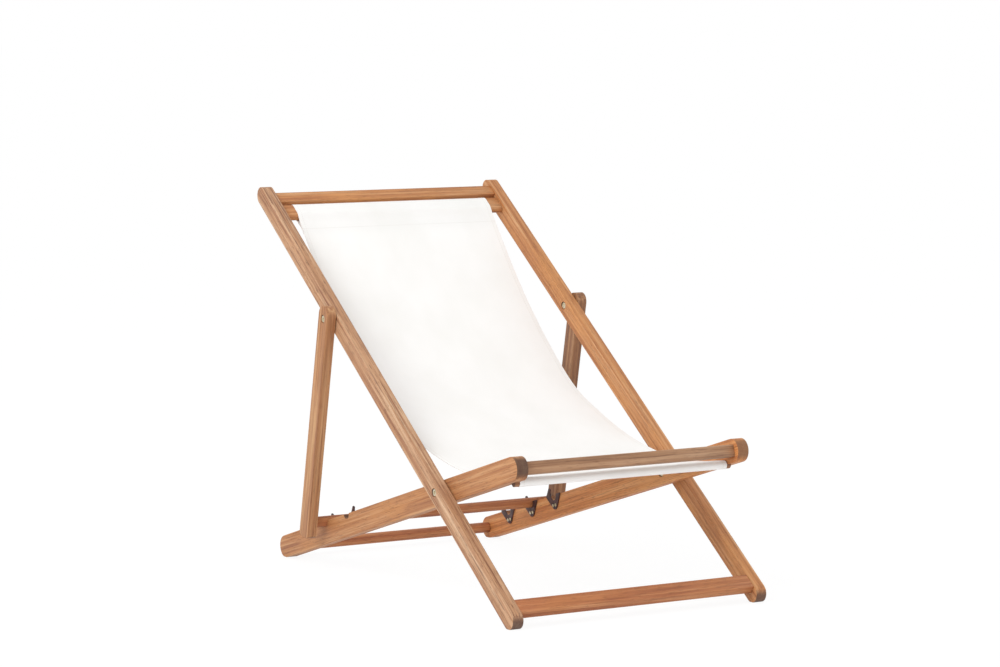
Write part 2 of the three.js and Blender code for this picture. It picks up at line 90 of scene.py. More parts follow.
def placeCamera():
    yaw, pitch, roll = (math.radians(cameraView[k]) for k in ("yaw", "pitch", "roll"))
    ahead = Vector((-math.sin(yaw) * math.cos(pitch), math.cos(yaw) * math.cos(pitch), -math.sin(pitch)))
    level = Vector((math.cos(yaw), math.sin(yaw), 0))
    upright = level.cross(ahead)
    aside = level * math.cos(roll) + upright * math.sin(roll)
    above = upright * math.cos(roll) - level * math.sin(roll)
    bpy.ops.object.camera_add()
    camera = bpy.context.object
    camera.name = "studioCamera"
    camera.data.lens = cameraView["lens"]
    camera.data.sensor_width = cameraView["sensor"]
    camera.data.clip_end = cameraView["farthest"]
    turn = Matrix((aside, above, -ahead)).transposed().to_4x4()
    camera.matrix_world = Matrix.Translation(cameraView["place"]) @ turn
    bpy.context.scene.camera = camera


placeCamera()


# Materials

# Turns a colour written as sRGB hex into the linear values that Blender mixes
def toLinear(hexColour):
    parts = [int(hexColour[i:i + 2], 16) / 255 for i in (1, 3, 5)]
    return (*(p / 12.92 if p <= 0.04045 else ((p + 0.055) / 1.055) ** 2.4 for p in parts), 1)


# Adds a node. A setting is the value of an input, the stops of a colour ramp or a property of the node,
# and a link comes from a socket or from a node's first output.
def addNode(tree, kind, settings=None, links=None):
    node = tree.nodes.new(kind)
    for key, value in (settings or {}).items():
        if key == "stops":
            band = node.color_ramp
            while len(band.elements) < len(value):
                band.elements.new(0.5)
            for element, (place, colour) in zip(band.elements, value):
                element.position = place
                element.color = toLinear(colour) if isinstance(colour, str) else (colour, colour, colour, 1)
        elif isinstance(key, int) or key in node.inputs:
            node.inputs[key].default_value = toLinear(value) if isinstance(value, str) else value
        else:
            setattr(node, key, value)
    for key, source in (links or {}).items():
        socket = source if isinstance(source, bpy.types.NodeSocket) else source.outputs[0]
        tree.links.new(socket, node.inputs[key])
    return node


def newMaterial(name):
    material = bpy.data.materials.new(name)
    material.use_nodes = True
    material.node_tree.nodes.clear()
    return material, material.node_tree


# Lays one colour over another where a pattern's ramp lets it show. A colour Mix node's share and its
# two colours are its inputs 0, 6 and 7, and the mixed colour is its output 2.
def coverWith(tree, below, pattern, stops, colour):
    strength = addNode(tree, "ShaderNodeValToRGB", {"stops": stops}, {0: pattern})
    mixed = addNode(tree, "ShaderNodeMix", {"data_type": "RGBA", 7: colour}, {0: strength, 6: below})
    return mixed.outputs[2], strength


# Oiled hardwood: planed and oiled, so straight streaks run along each piece, with fine pores,
# a satin sheen that follows them, and grey-brown end grain where the ends were cut
woodPatterns = {              # width and length in millimetres, detail, roughness, distortion, and a shift
    "streaks": ((8, 420), 3, 0.55, 0.4, 0),
    "grain": ((1.8, 160), 4, 0.65, 0.2, 7),
    "lines": ((3.4, 150), 3, 0.6, 0.3, 13),      # dark growth lines, crisp at their edges
    "pores": ((1.3, 22), 2, 0.5, 0, 19),         # real pores are finer; this is as fine as shows
    "patches": ((45, 150), 2, 0.5, 0, 31),
}
woodCovers = (                # pattern, where it starts and is full, its strongest share, its colour
    ("patches", 0.48, 0.66, "patchShare", "patch"),
    ("grain", 0.52, 0.64, "grainShare", "grain"),
    ("lines", 0.57, 0.63, "lineShare", "line"),
    ("pores", 0.6, 0.67, "poreShare", "pore"),
)
woodLook = {
    "patchShare": 0.6,
    "grainShare": 0.45,
    "lineShare": 0.35,
    "poreShare": 0.45,
    "toneStops": (0.32, 0.5, 0.68),
    "dark": "#A5693F", "middle": "#C08350", "light": "#D3A274",
    "grain": "#8A5230", "line": "#80492B", "pore": "#5E3822", "patch": "#CE8F55",
    "endGrain": "#4A332B", "endSpeckle": "#604638",
    "endStops": [(0.35, 0.0), (0.85, 0.85)],     # how far a face has to turn to the end to show end grain
    "speckleStops": (0.35, 0.7),
    "roughnessStops": [(0.3, 0.54), (0.7, 0.68)],
    "bump": 0.35,
    "bumpMm": 0.25,
    "refraction": 1.48,
}
# Boards from different trees: each differs a little in colour and in how strong its lines are. The seat
# rails' cut ends also carry painted light: the right rail's end grain is painted lighter as if lit, the left
# rail's darker with painted shade over its own dark end grain
boards = {
    "streaked": {"dark": "#96664A", "middle": "#B68762", "light": "#D3AE8B", "grain": "#74492F",
                 "line": "#6C4230", "patch": "#C39570", "lineShare": 0.62, "poreShare": 0.7},
    "tan": {"dark": "#8F6040", "middle": "#B27D54", "light": "#CB9F72", "grain": "#7A4E30",
            "line": "#744A30", "patch": "#BC865A", "poreShare": 0.3},
    "golden": {},
    # honey is the left seat rail: its dark end grain is deepened further with painted shade on the cut end
    "honey": {"dark": "#9A6440", "middle": "#B47B4D", "light": "#C8986C", "patch": "#C08550",
              "endGrain": "#3C2922", "endSpeckle": "#50392E"},
    # amber is the right seat rail: its end grain and speckle are painted lighter, painted light on the cut
    # end
    "amber": {"dark": "#B1693C", "middle": "#CE864B", "light": "#E0A66E", "grain": "#93532D",
              "endGrain": "#6A4632", "endSpeckle": "#8C6442"},
    "weathered": {"dark": "#8C6548", "middle": "#A27857", "light": "#B99272", "grain": "#6E4B34",
                  "line": "#5E3F2E", "patch": "#AA7F5B", "lineShare": 0.5},
    "reddish": {"dark": "#955636", "middle": "#B16E44", "light": "#C78B5E", "patch": "#BA7846"},
    "deep": {"dark": "#76503A", "middle": "#946644", "light": "#AF835E", "grain": "#573826",
             "line": "#4E3222", "patch": "#946644", "lineShare": 0.5},
}


# The turn lays the pattern along the piece, and the dark end is its lower (-1) or upper (1) one, or both (0)
def oiledHardwood(board, turn, darkEnd=-1):
    direction = "Across" if turn[2] else "Long" if turn[0] < 0 else "Seat"
    material, tree = newMaterial("oiledHardwood" + board.capitalize() + direction)
    look = {**woodLook, **boards[board]}
    place = addNode(tree, "ShaderNodeTexCoord")
    along = addNode(tree, "ShaderNodeMapping", {"Rotation": turn}, {0: place.outputs["Object"]})
    facing = addNode(tree, "ShaderNodeMapping", {"Rotation": turn}, {0: place.outputs["Normal"]})

    patterns = {}
    for name, ((wideMm, longMm), detail, roughness, distortion, shift) in woodPatterns.items():
        scales = (1 / (wideMm * mm), 1 / (longMm * mm), 1 / (wideMm * mm))
        drawn = addNode(tree, "ShaderNodeMapping", {"Scale": scales, "Location": [shift] * 3}, {0: along})
        patterns[name] = addNode(tree, "ShaderNodeTexNoise",
                                 {"Scale": 1, "Detail": detail, "Roughness": roughness,
                                  "Distortion": distortion}, {"Vector": drawn})

    tones = list(zip(look["toneStops"], (look["dark"], look["middle"], look["light"])))
    colour = addNode(tree, "ShaderNodeValToRGB", {"stops": tones}, {0: patterns["streaks"]})
    for name, start, full, share, shade in woodCovers:
        stops = [(start, 0.0), (full, look[share])]
        colour, strength = coverWith(tree, colour, patterns[name], stops, look[shade])
    poreStrength = strength

    ends = addNode(tree, "ShaderNodeSeparateXYZ", links={0: facing})
    cut = addNode(tree, "ShaderNodeMath", {"operation": "MULTIPLY", 1: darkEnd} if darkEnd else
                  {"operation": "ABSOLUTE"}, {0: ends.outputs[1]})
    speckles = list(zip(look["speckleStops"], (look["endGrain"], look["endSpeckle"])))
    speckle = addNode(tree, "ShaderNodeValToRGB", {"stops": speckles}, {0: patterns["pores"]})
    endShare = addNode(tree, "ShaderNodeValToRGB", {"stops": look["endStops"]}, {0: cut})
    mixed = addNode(tree, "ShaderNodeMix", {"data_type": "RGBA"}, {0: endShare, 6: colour, 7: speckle})

    roughness = addNode(tree, "ShaderNodeValToRGB", {"stops": look["roughnessStops"]}, {0: patterns["grain"]})
    height = addNode(tree, "ShaderNodeMath", {"operation": "SUBTRACT"},
                     {0: patterns["grain"], 1: poreStrength})
    bump = addNode(tree, "ShaderNodeBump", {"Strength": look["bump"], "Distance": look["bumpMm"] * mm},
                   {"Height": height})
    surface = addNode(tree, "ShaderNodeBsdfPrincipled", {"IOR": look["refraction"]},
                      {"Base Color": mixed.outputs[2], "Roughness": roughness, "Normal": bump})
    addNode(tree, "ShaderNodeOutputMaterial", links={"Surface": surface})
    return material


turnOf = {k: math.radians(layout[k]) for k in ("longTurn", "seatTurn", "strutTurn")}
acrossTurn = (0, 0, math.radians(90))
longWoods = [oiledHardwood(board, (-turnOf["longTurn"], 0, 0)) for board in ("golden", "streaked")]
seatWoods = [oiledHardwood(board, (-turnOf["seatTurn"], 0, 0)) for board in ("amber", "honey")]
strutWoods = [oiledHardwood(board, (-turnOf["strutTurn"], 0, 0), 1) for board in ("deep", "tan")]
barBoards = ("golden", "weathered", "reddish", "deep")
barWoods = {board: oiledHardwood(board, acrossTurn, 0) for board in barBoards}


# Metals. Bolts: zinc plate over steel, passivated, so it is bright with a faint warm cloud.
# Hooks: steel plate with baked dark brown enamel, worn thin in places, so it is nearly matt.
boltLook = {"bright": "#D9D0B8", "cloudy": "#B9A983", "metallic": 1, "cloudMm": 9, "grit": 0.2,
            "roughnessStops": [(0.3, 0.42), (0.7, 0.3)], "gritMm": 0.6, "bumpMm": 0.1}
hookLook = {"bright": "#4C2B28", "cloudy": "#351E1C", "metallic": 0, "cloudMm": 14, "grit": 0.5,
            "roughnessStops": [(0.3, 0.57), (0.7, 0.45)], "gritMm": 0.6, "bumpMm": 0.1}
cloudStops = (0.35, 0.62)


def coatedSteel(name, look):
    material, tree = newMaterial(name)
    place = addNode(tree, "ShaderNodeTexCoord").outputs["Object"]
    cloud = addNode(tree, "ShaderNodeTexNoise", {"Scale": 1 / (look["cloudMm"] * mm), "Detail": 4},
                    {"Vector": place})
    grit = addNode(tree, "ShaderNodeTexNoise", {"Scale": 1 / (look["gritMm"] * mm), "Detail": 2},
                   {"Vector": place})
    tones = list(zip(cloudStops, (look["cloudy"], look["bright"])))
    colour = addNode(tree, "ShaderNodeValToRGB", {"stops": tones}, {0: cloud})
    roughness = addNode(tree, "ShaderNodeValToRGB", {"stops": look["roughnessStops"]}, {0: cloud})
    bump = addNode(tree, "ShaderNodeBump", {"Strength": look["grit"], "Distance": look["bumpMm"] * mm},
                   {"Height": grit})
    surface = addNode(tree, "ShaderNodeBsdfPrincipled", {"Metallic": look["metallic"]},
                      {"Base Color": colour, "Roughness": roughness, "Normal": bump})
    addNode(tree, "ShaderNodeOutputMaterial", links={"Surface": surface})
    return material


boltSteel = coatedSteel("passivatedZincSteel", boltLook)
hookEnamel = coatedSteel("bakedBrownEnamel", hookLook)


# Cotton canvas: plain weave, washed and dry, so it is matt white with a faint nap and lockstitched hems
clothLook = {
    "halfWidth": 237.0,
    "threadMm": 1.6,          # real threads are about 0.6 mm; coarser so that the weave shows
    "stitchMm": 5.0,
    "stitchShare": 0.66,      # of each stitch's length, the part that lies on top
    "stitchHalfMm": 0.7,      # half the width of the seam's thread, drawn coarse enough to show
    "sideStitchFromEdge": 9.0,
    "cloudMm": (120, 200),
    "slubMm": (30, 1.5),
    "white": "#F6F5F3", "shade": "#F2F1EE", "stitch": "#ECEAE6",
    "cloudStops": (0.35, 0.6),
    "slubStops": [(0.55, 0.0), (0.75, 0.25)],
    "roughnessStops": [(0.3, 0.95), (0.7, 0.85)],
    "sheen": 0.1,
    "through": 0.1,           # share of the light that goes through the cloth, and how far it spreads
    "throughMm": 3.0,
    "gloss": 0.2,
    "weaveHeight": 0.4, "stitchHeight": 1.2, "slubHeight": 0.8,
    "bump": 0.4,
    "bumpMm": 0.3,
}


def cottonCanvas(name, seams):
    look = clothLook
    material, tree = newMaterial(name)
    place = addNode(tree, "ShaderNodeUVMap", {"uv_map": "clothMetres"})
    across, along = addNode(tree, "ShaderNodeSeparateXYZ", links={0: place}).outputs[:2]

    # Over and under: one wave across the cloth times one along it
    waves = addNode(tree, "ShaderNodeVectorMath",
                    {"operation": "SCALE", "Scale": math.pi / (look["threadMm"] * mm)}, {0: place})
    waves = addNode(tree, "ShaderNodeVectorMath", {"operation": "SINE"}, {0: waves})
    warp, weft = addNode(tree, "ShaderNodeSeparateXYZ", links={0: waves}).outputs[:2]
    weave = addNode(tree, "ShaderNodeMath", {"operation": "MULTIPLY"}, {0: warp, 1: weft})

    noises = []
    for (wideMm, longMm), detail in ((look["cloudMm"], 3), (look["slubMm"], 2)):
        scales = (1 / (wideMm * mm), 1 / (longMm * mm), 1)
        drawn = addNode(tree, "ShaderNodeMapping", {"Scale": scales}, {0: place})
        noises.append(addNode(tree, "ShaderNodeTexNoise", {"Scale": 1, "Detail": detail}, {"Vector": drawn}))
    cloud, slubs = noises

    # Rows of stitches: the side hems' run along the sling, and the pocket seams' run across it
    steps = addNode(tree, "ShaderNodeVectorMath",
                    {"operation": "SCALE", "Scale": 1 / (look["stitchMm"] * mm)}, {0: place})
    steps = addNode(tree, "ShaderNodeVectorMath", {"operation": "FRACTION"}, {0: steps})
    dashAcross, dashAlong = addNode(tree, "ShaderNodeSeparateXYZ", links={0: steps}).outputs[:2]
    side = (look["halfWidth"] - look["sideStitchFromEdge"]) * mm
    fromMiddle = addNode(tree, "ShaderNodeMath", {"operation": "ABSOLUTE"}, {0: across})
    rows = [(fromMiddle, side, dashAlong)] + [(along, seam, dashAcross) for seam in seams]
    thread = None
    for value, row, dash in rows:
        line = addNode(tree, "ShaderNodeMath", {"operation": "COMPARE", 1: row, 2: look["stitchHalfMm"] * mm},
                       {0: value})
        onTop = addNode(tree, "ShaderNodeMath", {"operation": "LESS_THAN", 1: look["stitchShare"]}, {0: dash})
        stitches = addNode(tree, "ShaderNodeMath", {"operation": "MULTIPLY"}, {0: line, 1: onTop})
        if thread:
            stitches = addNode(tree, "ShaderNodeMath", {"operation": "MAXIMUM"}, {0: thread, 1: stitches})
        thread = stitches

    tones = list(zip(look["cloudStops"], (look["shade"], look["white"])))
    colour = addNode(tree, "ShaderNodeValToRGB", {"stops": tones}, {0: cloud})
    colour = coverWith(tree, colour, slubs, look["slubStops"], look["shade"])[0]
    mixed = addNode(tree, "ShaderNodeMix", {"data_type": "RGBA", 7: look["stitch"]}, {0: thread, 6: colour})
    roughness = addNode(tree, "ShaderNodeValToRGB", {"stops": look["roughnessStops"]}, {0: cloud})

    height = None
    for source, size in ((weave, "weaveHeight"), (thread, "stitchHeight"), (slubs, "slubHeight")):
        links = {0: source, 2: height} if height else {0: source}
        height = addNode(tree, "ShaderNodeMath", {"operation": "MULTIPLY_ADD", 1: look[size], 2: 0}, links)
    bump = addNode(tree, "ShaderNodeBump", {"Strength": look["bump"], "Distance": look["bumpMm"] * mm},
                   {"Height": height})
    surface = addNode(tree, "ShaderNodeBsdfPrincipled",
                      {"Sheen Weight": look["sheen"], "Subsurface Weight": look["through"],
                       "Subsurface Radius": (1, 1, 1), "Subsurface Scale": look["throughMm"] * mm,
                       "Specular IOR Level": look["gloss"]},
                      {"Base Color": mixed.outputs[2], "Roughness": roughness, "Normal": bump})
    addNode(tree, "ShaderNodeOutputMaterial", links={"Surface": surface})
    return material


print("materials made")


# What the pieces share, in millimetres: the clearance between two pieces, how far a cutter reaches past
# the face that it cuts, how near a point lies to a place to count as there, and what merges into one point
fit = {"gap": 0.3, "past": 5, "near": 0.01, "merge": 0.05}
almostAll = 0.999             # of a bevel's full width
squareOn = 0.99               # a face whose normal has this much of a direction faces it


def clearSelection():
    if bpy.context.object and bpy.context.object.mode != "OBJECT":
        bpy.ops.object.mode_set(mode="OBJECT")
    bpy.ops.object.select_all(action="DESELECT")


def only(piece):
    clearSelection()
    piece.select_set(True)
    bpy.context.view_layer.objects.active = piece


def pickEdges(piece, wanted):
    bpy.ops.mesh.select_mode(type="EDGE")
    bpy.ops.mesh.select_all(action="DESELECT")
    mesh = bmesh.from_edit_mesh(piece.data)
    for edge in mesh.edges:
        edge.select_set(wanted(edge.verts[0].co, edge.verts[1].co))
    bmesh.update_edit_mesh(piece.data)


def pickFaces(piece, wanted):
    bpy.ops.mesh.select_mode(type="FACE")
    bpy.ops.mesh.select_all(action="DESELECT")
    mesh = bmesh.from_edit_mesh(piece.data)
    for face in mesh.faces:
        face.select_set(wanted(face.calc_center_median(), face.normal))
    bmesh.update_edit_mesh(piece.data)


# A block at its place along and across its frame; sizes are thickness, length and depth
def addBlock(name, size, middle):
    clearSelection()
    bpy.ops.mesh.primitive_cube_add(size=1, location=[v * mm for v in middle])
    piece = bpy.context.object
    piece.name = name
    piece.scale = [v * mm for v in size]
    bpy.ops.object.transform_apply(location=True, rotation=True, scale=True)
    return piece


def addRound(name, radius, fromX, toX, along, across, sides=48):
    clearSelection()
    bpy.ops.mesh.primitive_cylinder_add(vertices=sides, radius=radius * mm, depth=(toX - fromX) * mm,
                                        location=((fromX + toX) / 2 * mm, along * mm, across * mm),
                                        rotation=(0, math.radians(90), 0))
    piece = bpy.context.object
    piece.name = name
    bpy.ops.object.transform_apply(location=True, rotation=True, scale=True)
    return piece


# Rounds the corners at one end of a block, seen from the side. Two bevels of half its depth would meet
# in a seam, so each stops just short of that.
def roundEnd(piece, endAt, radius, segments):
    only(piece)
    bpy.ops.object.mode_set(mode="EDIT")
    near = fit["near"] * mm
    pickEdges(piece, lambda a, b: abs(a.y - endAt * mm) < near and abs(b.y - endAt * mm) < near
              and abs(a.x - b.x) > near)
    bpy.ops.mesh.bevel(offset=radius * mm * almostAll, segments=segments, affect="EDGES")
    bpy.ops.mesh.select_all(action="SELECT")
    bpy.ops.mesh.remove_doubles(threshold=fit["merge"] * mm)
    bpy.ops.object.mode_set(mode="OBJECT")


# Draws the end faces in and pulls a tenon out of each
def addTenons(piece, shoulder, length):
    only(piece)
    bpy.ops.object.mode_set(mode="EDIT")
    for sign in (-1, 1):
        pickFaces(piece, lambda middle, normal: normal.x * sign > squareOn and middle.x * sign > 0)
        bpy.ops.mesh.inset(thickness=shoulder * mm, depth=0)
        bpy.ops.mesh.extrude_region_move(TRANSFORM_OT_translate={"value": (sign * length * mm, 0, 0)})
    bpy.ops.object.mode_set(mode="OBJECT")


def cutAway(piece, cutters):
    for cutter in cutters:
        only(piece)
        cut = piece.modifiers.new("cut", "BOOLEAN")
        cut.operation = "DIFFERENCE"
        cut.solver = "EXACT"
        cut.object = cutter
        bpy.ops.object.modifier_apply(modifier=cut.name)
        bpy.data.objects.remove(cutter, do_unlink=True)


def softenEdges(piece, width, segments=3, angle=40):
    only(piece)
    bevel = piece.modifiers.new("soften", "BEVEL")
    bevel.width = width * mm
    bevel.segments = segments
    bevel.limit_method = "ANGLE"
    bevel.angle_limit = math.radians(angle)
    bevel.use_clamp_overlap = True
    bpy.ops.object.modifier_apply(modifier=bevel.name)


# Turns a piece from its frame's own along and across into the chair
def setInChair(piece, whichFrame):
    only(piece)
    pivot = layout["strutPivot"] if whichFrame == "strut" else layout["seatPivot"]
    piece.location = [v * mm for v in pivot]
    piece.rotation_euler = (turnOf[whichFrame + "Turn"], 0, 0)
    bpy.ops.object.transform_apply(location=True, rotation=True, scale=True)


# Takes off what lies below the ground, which leaves the worn flat of a foot
def wearFlat(piece):
    only(piece)
    bpy.ops.object.mode_set(mode="EDIT")
    bpy.ops.mesh.select_all(action="SELECT")
    bpy.ops.mesh.bisect(plane_co=(0, 0, 0), plane_no=(0, 0, 1), use_fill=True, clear_inner=True)
    bpy.ops.mesh.select_all(action="SELECT")
    bpy.ops.mesh.normals_make_consistent(inside=False)
    bpy.ops.object.mode_set(mode="OBJECT")


def copyOf(piece, name, shift=(0, 0, 0), otherSide=False):
    only(piece)
    bpy.ops.object.duplicate()
    twin = bpy.context.object
    twin.name = name
    twin.location = [v * mm for v in shift]
    if otherSide:
        twin.scale = (-1, 1, 1)
    bpy.ops.object.transform_apply(location=True, rotation=True, scale=True)
    if otherSide:
        bpy.ops.object.mode_set(mode="EDIT")
        bpy.ops.mesh.select_all(action="SELECT")
        bpy.ops.mesh.normals_make_consistent(inside=False)
        bpy.ops.object.mode_set(mode="OBJECT")
    return twin


def dress(piece, material, body, nodes, smooth=32):
    only(piece)
    piece.data.materials.clear()
    piece.data.materials.append(material)
    bpy.ops.object.shade_smooth_by_angle(angle=math.radians(smooth))
    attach(piece, body)
    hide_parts(*nodes)
    return piece


def dressPair(piece, name, materials, body, node):
    twin = copyOf(piece, name + "Left", otherSide=True)
    dress(piece, materials[0], body, [node + "_right"])
    dress(twin, materials[-1], body, [node + "_left"])
    return piece, twin


# Rails and struts
tenon = {"shoulder": 5.0, "length": 12.0}
longBars = {                  # size and middle, each along and across the long frame
    "topBar": {"size": (30, 18), "at": (907, 4.5), "corner": 3,
               "node": "top_bar", "board": "golden"},
    "headSlingBar": {"size": (42, 16), "at": (866, 2), "corner": 7.8,
                     "node": "head_sling_bar", "board": "golden"},
    "footBar": {"size": (35, 19), "at": (-334.5, 8.5), "corner": 3,
                "node": "foot_bar", "board": "reddish"},
}
seatBars = {
    "frontBar": {"size": (24, 24), "at": (-263, -0.5), "corner": 3,
                 "node": "front_bar", "board": "weathered"},
}
barShape = {"edge": 0.8, "edgeSteps": 2, "cornerSteps": 6, "sharpAngle": 60, "smoothAngle": 40}
rodShape = {"edge": 1.0, "edgeSteps": 3, "sides": 56, "shoulder": 2.5}
longRail = {"from": -371, "to": 947, "depth": 37, "inner": 266.8, "outer": 290.0,
            "edge": 1.5, "roundSteps": 16}
seatRail = {"from": -288, "to": 757, "depth": 47, "inner": 239.5, "outer": 264.5,
            "edge": 1.8, "roundSteps": 18, "notches": (430, 530, 630), "notchRadius": 11.3}
strut = {"from": -27, "to": 475, "depth": 37, "inner": 291.8, "outer": 312.8,
         "edge": 1.4, "roundSteps": 16, "corner": 7, "cornerSteps": 6}
bolt = {"bore": 4.3, "boreSides": 32, "counterbore": 8.5, "counterboreSides": 40, "sunk": 4.0, "strutAt": 525}
# The front rod takes the darkest board: the end that shows below the left seat rail is dark partly from the
# wood's own tone and partly from painted shade
slingRod = {"radius": 7.5, "at": (-237, -23.5), "end": 247.5, "board": "deep"}
rearBar = {"radius": 11.5, "at": (732, 0), "end": seatRail["inner"] - fit["gap"], "board": "reddish"}
restBar = {"radius": 11.0, "at": (530, 23.5), "end": 291.5, "board": "reddish"}


def mortise(bar, inner):
    length, depth = (v - 2 * tenon["shoulder"] + 2 * fit["gap"] for v in bar["size"])
    deep = tenon["length"] + fit["gap"]
    middle = inner + (deep - fit["past"]) / 2
    return addBlock("mortise", (deep + fit["past"], length, depth), (middle, *bar["at"]))


def boreThrough(side, along):
    return addRound("bore", bolt["bore"], side["inner"] - fit["past"], side["outer"] + fit["past"], along, 0,
                    bolt["boreSides"])


# The sunk seat of a bolt's head or nut, in the outer or the inner face
def sunkSeat(side, face, along):
    if face == "outer":
        reach = (side["outer"] - bolt["sunk"], side["outer"] + fit["past"])
    else:
        reach = (side["inner"] - fit["past"], side["inner"] + bolt["sunk"])
    return addRound("counterbore", bolt["counterbore"], *reach, along, 0, bolt["counterboreSides"])


# A board of the right side, from its inner to its outer face, with round ends where it has them
def addRail(name, side, thick, middle, lowRound, topRound):
    rail = addBlock(name, (thick, side["to"] - side["from"], side["depth"]),
                    (middle, (side["to"] + side["from"]) / 2, 0))
    for end, (radius, steps) in (("to", topRound), ("from", lowRound)):
        roundEnd(rail, side[end], radius, steps)
    return rail


def makeLongRail():
    side = longRail
    halfRound = (side["depth"] / 2, side["roundSteps"])
    rail = addRail("longRailRight", side, layout["longThick"], layout["longMiddle"], halfRound, halfRound)
    cutAway(rail, [mortise(bar, side["inner"]) for bar in longBars.values()] + [
        boreThrough(side, 0), sunkSeat(side, "outer", 0),
        boreThrough(side, bolt["strutAt"]), sunkSeat(side, "inner", bolt["strutAt"])])
    setInChair(rail, "long")
    wearFlat(rail)
    softenEdges(rail, side["edge"])
    return rail


def makeSeatRail():
    side = seatRail
    halfRound = (side["depth"] / 2, side["roundSteps"])
    rail = addRail("seatRailRight", side, layout["seatThick"], layout["seatMiddle"], halfRound, halfRound)
    start, stop = side["inner"] - fit["past"], side["outer"] + fit["past"]
    notches = [addRound("notch", side["notchRadius"], start, stop, at, side["depth"] / 2)
               for at in side["notches"]]
    rodSeat = addRound("rodSeat", slingRod["radius"] + fit["gap"], start, slingRod["end"] + fit["gap"],
                       *slingRod["at"])
    rearHole = addRound("rearHole", rearBar["radius"] - rodShape["shoulder"] + fit["gap"], start,
                        side["inner"] + tenon["length"] + fit["gap"], *rearBar["at"])
    cutAway(rail, notches + [rodSeat, rearHole, mortise(seatBars["frontBar"], side["inner"]),
                             boreThrough(side, 0), sunkSeat(side, "inner", 0)])
    setInChair(rail, "seat")
    wearFlat(rail)
    softenEdges(rail, side["edge"])
    return rail


def makeStrut():
    side = strut
    piece = addRail("strutRight", side, layout["strutThick"], layout["strutMiddle"],
                    (side["depth"] / 2, side["roundSteps"]), (side["corner"], side["cornerSteps"]))
    cutAway(piece, [boreThrough(side, 0), sunkSeat(side, "outer", 0)])
    setInChair(piece, "strut")
    softenEdges(piece, side["edge"])
    return piece


dressPair(makeLongRail(), "longRail", longWoods, "long_frame", "long_rail")
dressPair(makeSeatRail(), "seatRail", seatWoods, "seat_frame", "seat_rail")
dressPair(makeStrut(), "strut", strutWoods, "strut_frame", "strut")
print("rails and struts made")


# Bars and rods
def makeBar(name, bar, inner, whichFrame, body):
    half = inner - fit["gap"]
    piece = addBlock(name, (2 * half, *bar["size"]), (0, *bar["at"]))
    bpy.ops.object.mode_set(mode="EDIT")
    pickEdges(piece, lambda a, b: abs(a.x - b.x) > half * mm)
    bpy.ops.mesh.bevel(offset=bar["corner"] * mm, segments=barShape["cornerSteps"], affect="EDGES")
    bpy.ops.object.mode_set(mode="OBJECT")
    addTenons(piece, tenon["shoulder"], tenon["length"])
    softenEdges(piece, barShape["edge"], barShape["edgeSteps"], barShape["sharpAngle"])
    setInChair(piece, whichFrame)
    return dress(piece, barWoods[bar["board"]], body, [bar["node"]], barShape["smoothAngle"])


def makeRod(name, rod, node, tenons=False):
    piece = addRound(name, rod["radius"], -rod["end"], rod["end"], *rod["at"], sides=rodShape["sides"])
    if tenons:
        addTenons(piece, rodShape["shoulder"], tenon["length"])
    softenEdges(piece, rodShape["edge"], rodShape["edgeSteps"], barShape["sharpAngle"])
    setInChair(piece, "seat")
    return dress(piece, barWoods[rod["board"]], "seat_frame", [node], barShape["smoothAngle"])


for name, bar in longBars.items():
    makeBar(name, bar, longRail["inner"], "long", "long_frame")
for name, bar in seatBars.items():
    makeBar(name, bar, seatRail["inner"], "seat", "seat_frame")
makeRod("rearBar", rearBar, "rear_bar", tenons=True)
makeRod("restBar", restBar, "rest_bar")
makeRod("frontSlingRod", slingRod, "front_sling_rod")
print("bars made")

# Pivot bolts, cap nuts and washers
fastener = {"headRadius": 7.0, "headHeight": 2.5, "shank": 4.0, "sides": 48,
            "socket": 6.0, "socketDepth": 2.2,      # the hex socket, across its flats
            "edge": 0.5, "edgeSteps": 3, "sharpAngle": 50,
            "engaged": 1.6,                         # how far the bolt reaches into its nut
            "crown": 1.1, "crownSteps": 5, "crownInset": 2.2, "crownRise": 0.5}


def makeBolt(name, inner, outer, along, node, nutNode):
    part = fastener
    under = outer - bolt["sunk"] + fit["gap"]
    top = under + part["headHeight"]
    head = addRound(name + "BoltRight", part["headRadius"], under, top, along, 0, part["sides"])
    bpy.ops.object.mode_set(mode="EDIT")
    pickFaces(head, lambda middle, normal: normal.x < -squareOn)
    bpy.ops.mesh.inset(thickness=(part["headRadius"] - part["shank"]) * mm, depth=0)
    end = inner + bolt["sunk"] - fit["gap"] - part["engaged"]
    bpy.ops.mesh.extrude_region_move(TRANSFORM_OT_translate={"value": ((end - under) * mm, 0, 0)})
    bpy.ops.object.mode_set(mode="OBJECT")
    cutAway(head, [addRound("socket", part["socket"] / math.sqrt(3), top - part["socketDepth"],
                            top + fit["past"], along, 0, 6)])
    softenEdges(head, part["edge"], part["edgeSteps"], part["sharpAngle"])
    setInChair(head, "long")
    dressPair(head, name + "Bolt", [boltSteel], "long_frame", node)

    seat = inner + bolt["sunk"] - fit["gap"]
    nut = addRound(name + "NutRight", part["headRadius"], seat - part["headHeight"], seat, along, 0,
                   part["sides"])
    bpy.ops.object.mode_set(mode="EDIT")
    pickFaces(nut, lambda middle, normal: normal.x < -squareOn)
    bpy.ops.mesh.bevel(offset=part["crown"] * mm, segments=part["crownSteps"], affect="EDGES")
    pickFaces(nut, lambda middle, normal: normal.x < -squareOn)
    bpy.ops.mesh.inset(thickness=part["crownInset"] * mm, depth=-part["crownRise"] * mm)
    bpy.ops.object.mode_set(mode="OBJECT")
    blind = seat - part["engaged"] - fit["gap"]
    cutAway(nut, [addRound("blindBore", bolt["bore"], blind, seat + fit["past"], along, 0,
                           bolt["boreSides"])])
    setInChair(nut, "long")
    dressPair(nut, name + "Nut", [boltSteel], "long_frame", nutNode)


